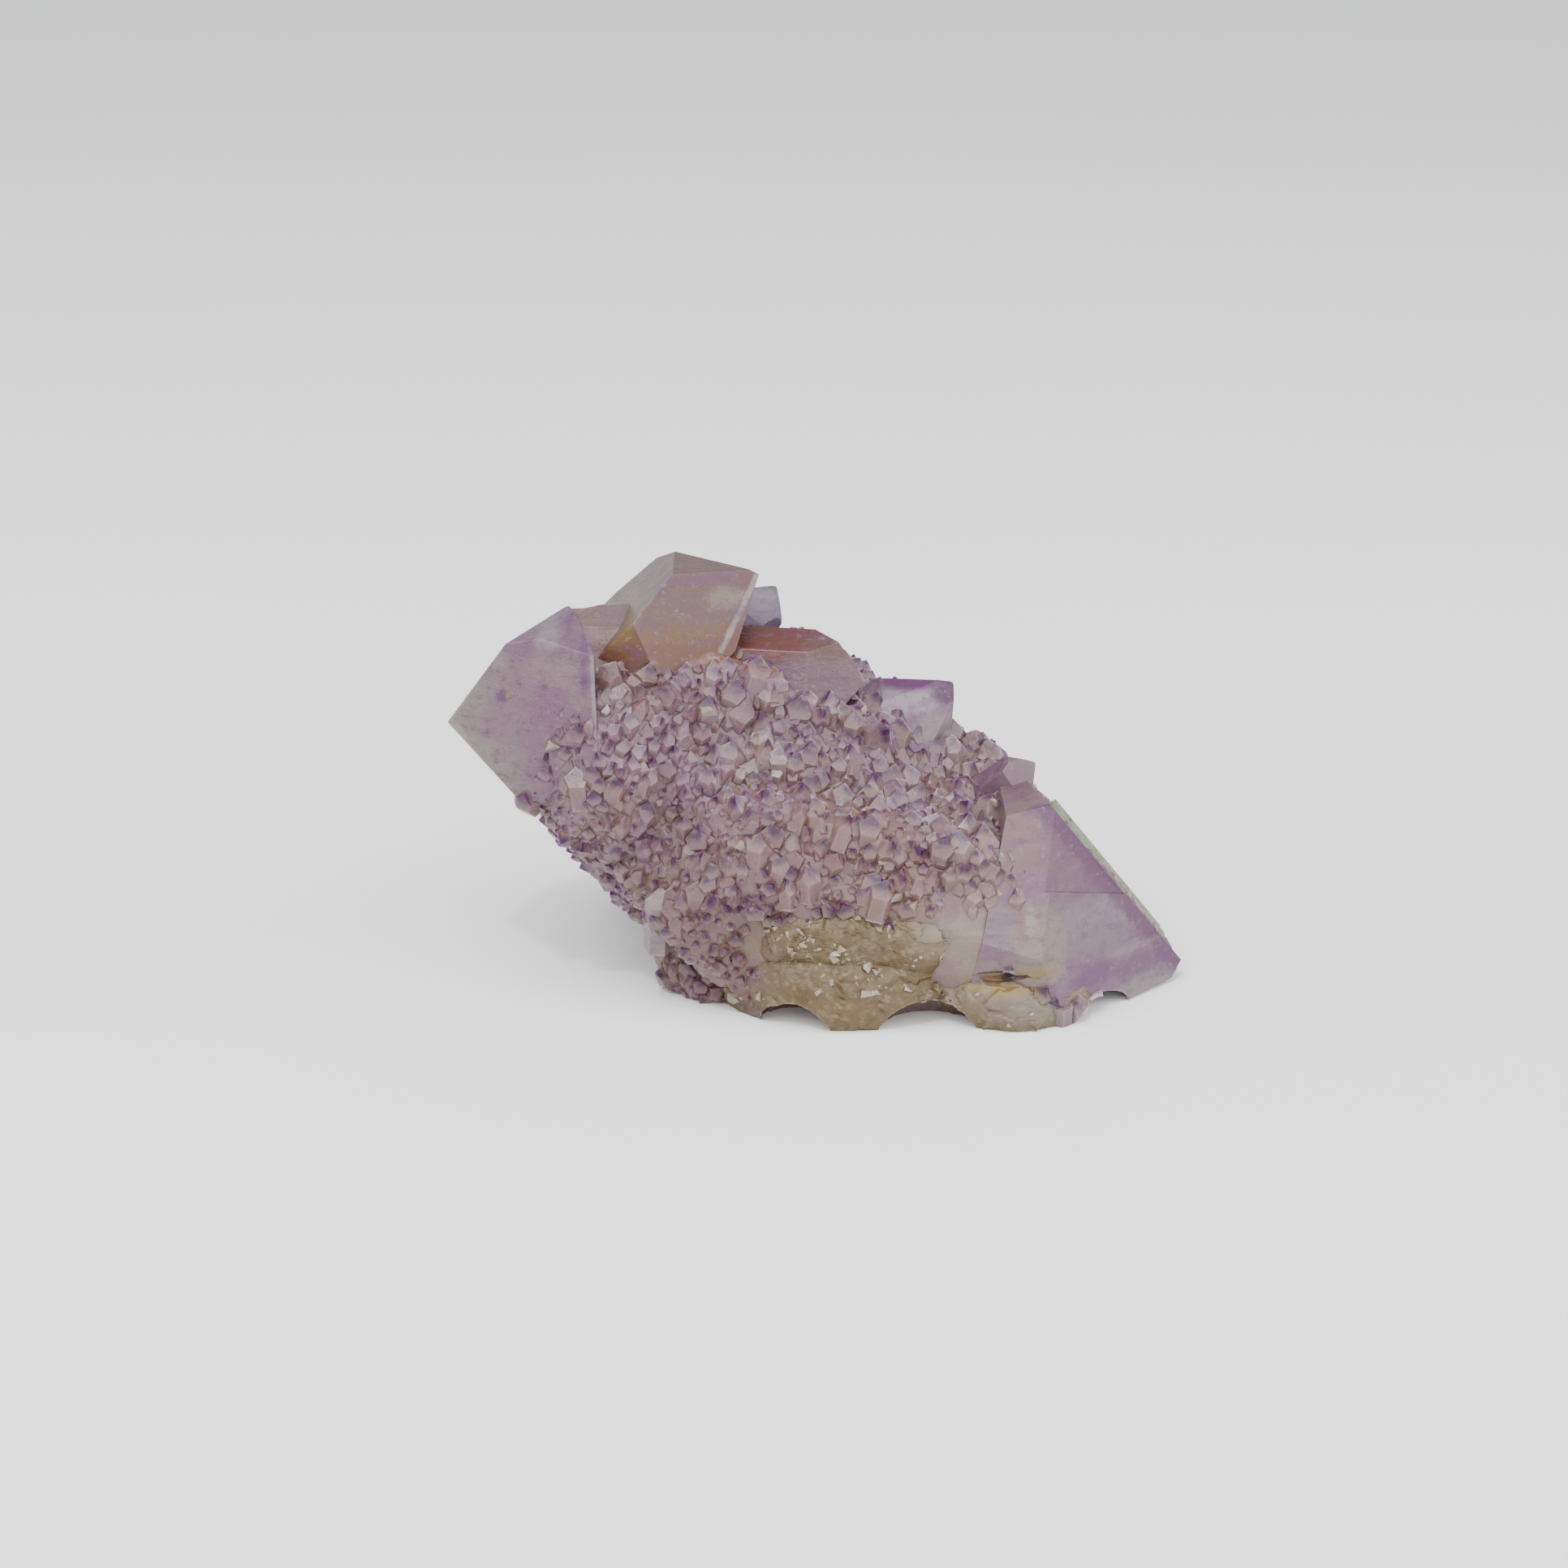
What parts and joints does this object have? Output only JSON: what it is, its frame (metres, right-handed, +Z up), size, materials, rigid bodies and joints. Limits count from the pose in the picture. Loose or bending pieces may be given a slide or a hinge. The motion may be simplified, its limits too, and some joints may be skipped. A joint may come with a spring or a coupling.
{
  "type": "spirit quartz cluster",
  "caption": "Cluster of amethyst quartz candles grown together, covered in small points, with smooth ends, cut flat underneath to rest on.",
  "frame": {"origin": "on the flat break underneath that the stone rests on, near the middle of the big candle", "axes": "+Z up, +X the way the big smooth point looks, -Y the front that shows the broad smooth faces"},
  "size_m": [0.0803, 0.0454, 0.0458],
  "materials": {
    "amethyst_quartz": "milky lavender quartz, glossy on the smooth faces and satin over the small points"
  },
  "bodies": {
    "root": {"spirit_quartz_cluster": "amethyst_quartz"}
  },
  "joints": []
}
